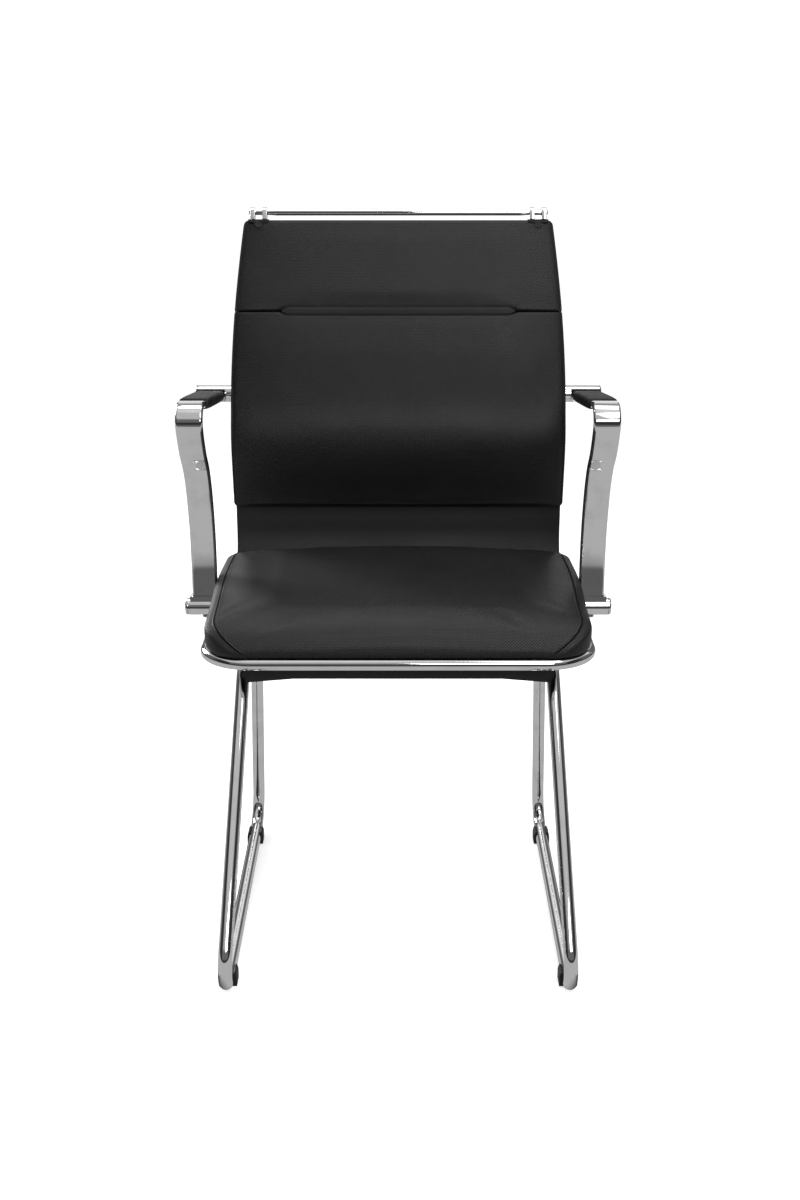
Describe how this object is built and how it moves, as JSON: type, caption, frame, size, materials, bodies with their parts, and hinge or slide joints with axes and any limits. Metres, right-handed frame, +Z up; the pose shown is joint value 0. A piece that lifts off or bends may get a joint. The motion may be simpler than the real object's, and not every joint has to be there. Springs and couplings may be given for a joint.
{
  "type": "sled base visitor chair",
  "caption": "Visitor chair: black upholstered bent shell, chrome sled side frames, chrome cross tubes with flat strap arms, and a chrome handle rail above the back.",
  "frame": {"origin": "middle of the footprint, on the floor under the glides", "axes": "+Z up, the sitter faces -Y, +X to the right of someone who looks at the front of the chair along +Y"},
  "size_m": [0.606, 0.6314, 0.943],
  "materials": {
    "polished_chrome": "mirror-bright plated steel",
    "black_leather": "fine-grained black leather with small perforations",
    "black_steel": "satin black powder coat",
    "black_plastic": "moulded black nylon",
    "zinc_steel": "bright zinc-plated screws"
  },
  "bodies": {
    "root": {"sled_tube_left": "polished_chrome", "sled_tube_right": "polished_chrome", "sled_joint_plug_left": "zinc_steel", "sled_joint_plug_right": "zinc_steel", "glide_front_left": "black_plastic", "glide_front_right": "black_plastic", "glide_rear_left": "black_plastic", "glide_rear_right": "black_plastic", "front_cross_plate": "black_steel", "rear_cross_plate": "black_steel", "seat_frame_tube": "polished_chrome", "lower_cross_tube": "polished_chrome", "lower_tube_cap_left": "polished_chrome", "lower_tube_cap_right": "polished_chrome", "lower_tube_clamp_left": "black_steel", "lower_tube_clamp_right": "black_steel", "upper_cross_tube": "polished_chrome", "upper_tube_cap_left": "polished_chrome", "upper_tube_cap_right": "polished_chrome", "upper_tube_clamp_left": "black_steel", "upper_tube_clamp_right": "black_steel", "arm_strap_left": "polished_chrome", "arm_strap_right": "polished_chrome", "arm_pad_left": "black_leather", "arm_pad_right": "black_leather", "arm_saddle_lower_left": "polished_chrome", "arm_saddle_lower_right": "polished_chrome", "arm_saddle_upper_left": "polished_chrome", "arm_saddle_upper_right": "polished_chrome", "arm_screw_lower_left": "zinc_steel", "arm_screw_lower_right": "zinc_steel", "arm_screw_upper_left": "zinc_steel", "arm_screw_upper_right": "zinc_steel", "seat_screw_1": "zinc_steel", "seat_screw_2": "zinc_steel", "seat_screw_3": "zinc_steel", "seat_screw_4": "zinc_steel", "seat_screw_5": "zinc_steel", "seat_screw_6": "zinc_steel", "seat_screw_7": "zinc_steel", "seat_screw_8": "zinc_steel", "seat_screw_9": "zinc_steel", "seat_screw_10": "zinc_steel", "seat_screw_11": "zinc_steel", "seat_screw_12": "zinc_steel", "handle_screw_left": "zinc_steel", "handle_screw_right": "zinc_steel", "handle_bracket_left": "black_plastic", "handle_bracket_right": "black_plastic", "handle_band_inner_left": "polished_chrome", "handle_band_inner_right": "polished_chrome", "handle_band_outer_left": "polished_chrome", "handle_band_outer_right": "polished_chrome", "handle_rail": "polished_chrome", "shell": "black_leather", "seat_cushion": "black_leather", "back_pad": "black_leather", "head_pad": "black_leather", "seam_strip": "black_leather"}
  },
  "joints": []
}
